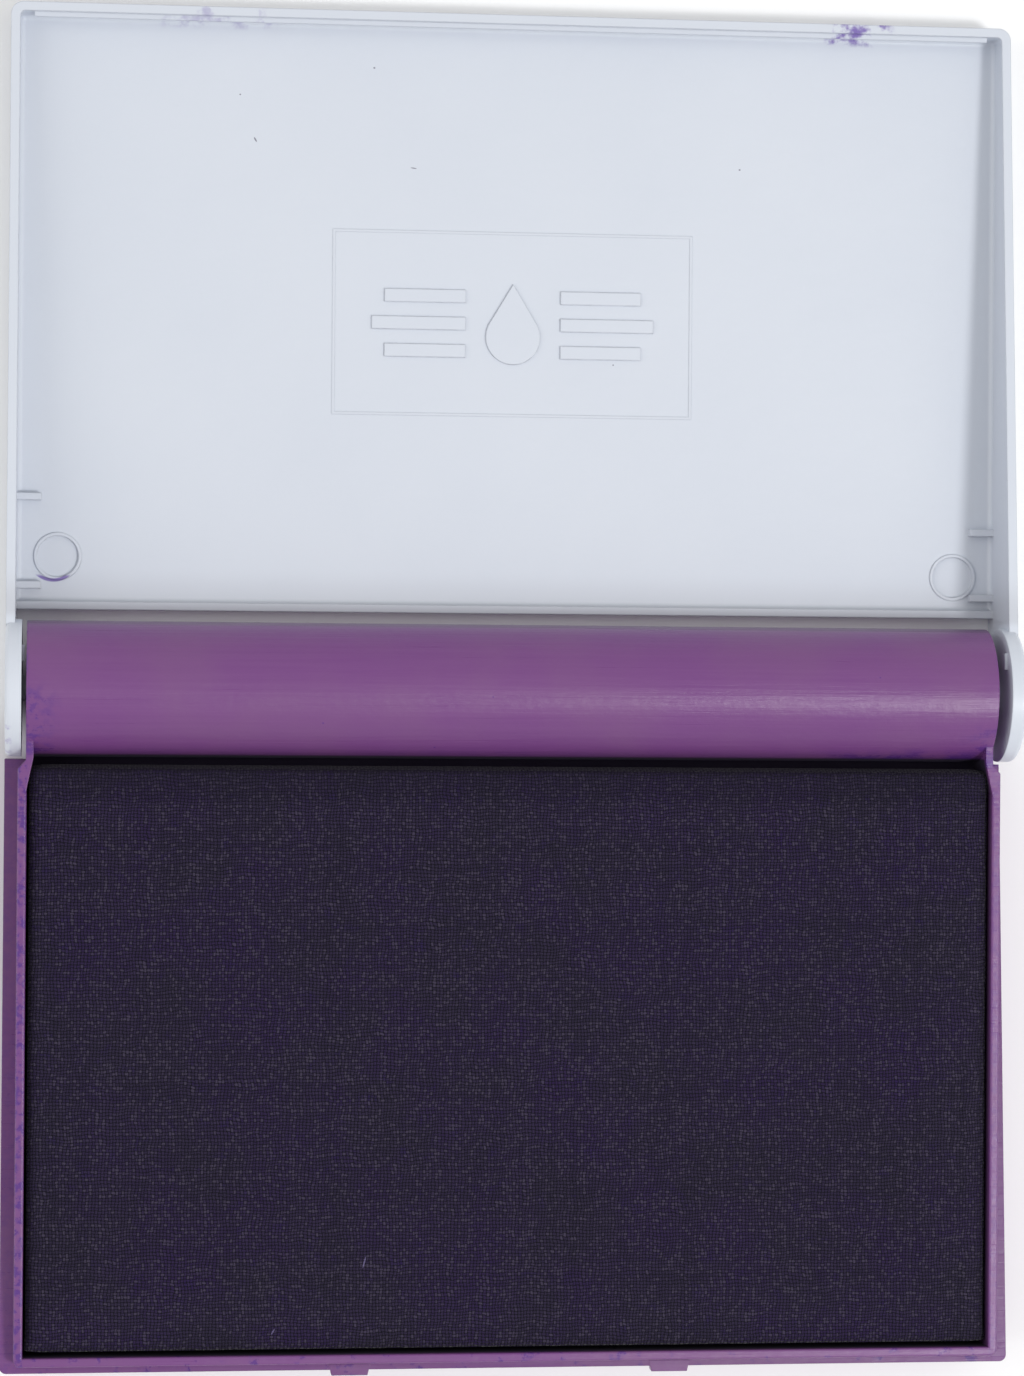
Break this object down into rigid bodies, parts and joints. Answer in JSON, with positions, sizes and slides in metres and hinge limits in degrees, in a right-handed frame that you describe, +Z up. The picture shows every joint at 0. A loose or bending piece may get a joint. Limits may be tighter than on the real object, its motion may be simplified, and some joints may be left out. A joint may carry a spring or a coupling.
{
  "type": "stamp ink pad",
  "caption": "Open stamp ink pad: inked woven pad in a shallow tray, joined by a barrel hinge to a tapered lid lying inside up.",
  "frame": {"origin": "middle of the underside of the open case's bounding box, on the surface it lies on", "axes": "+X right along the hinge, +Y from the pad towards the lid, +Z up"},
  "size_m": [0.1171, 0.1568, 0.0156],
  "materials": {
    "purple_moulding": "smooth moulded, slightly streaked",
    "white_moulding": "smooth moulded, cool white",
    "inked_cloth": "plain weave soaked with violet ink",
    "felt": "inked felt",
    "card": "plain board"
  },
  "bodies": {
    "tray": {"base_tray": "purple_moulding", "ink_cloth": "inked_cloth", "upper_felt_ply": "felt", "lower_felt_ply": "felt", "backing_card": "card"},
    "lid": {"lid": "white_moulding"}
  },
  "joints": [
    {"name": "lid_hinge", "type": "hinge", "parent": "tray", "child": "lid", "pos_m": [0, -0.00028, 0.0078], "axis": [1, 0, 0], "range_deg": [0, 180]}
  ]
}
